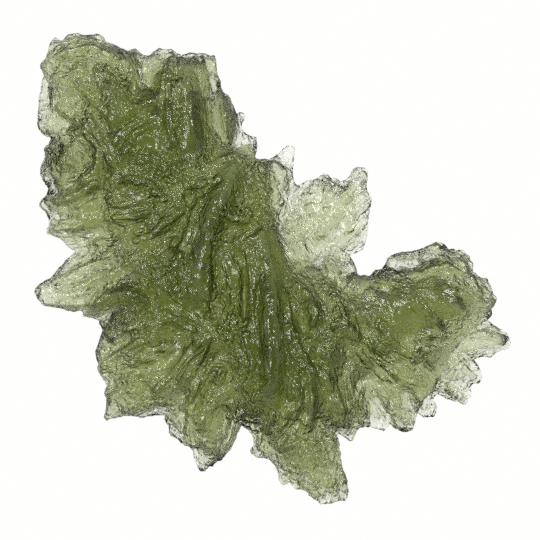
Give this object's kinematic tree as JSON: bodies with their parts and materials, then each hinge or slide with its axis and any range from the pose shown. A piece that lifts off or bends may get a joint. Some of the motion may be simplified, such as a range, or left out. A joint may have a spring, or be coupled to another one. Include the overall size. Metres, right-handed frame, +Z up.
{
  "type": "moldavite",
  "caption": "Natural green glass stone, a deeply etched flat piece with spiny edges, ridges and scoops, lying on its underside.",
  "frame": {"origin": "middle of the stone's plan, on the surface that it lies on", "axes": "+Z up, away from the surface that the stone lies on; +X towards the rounded right lobe; +Y towards the broad far end"},
  "size_m": [0.0478, 0.0472, 0.0103],
  "materials": {
    "natural_glass": "clear bottle-green natural glass, acid-etched in the ground to a finely pitted satin skin"
  },
  "bodies": {
    "root": {"moldavite": "natural_glass"}
  },
  "joints": []
}
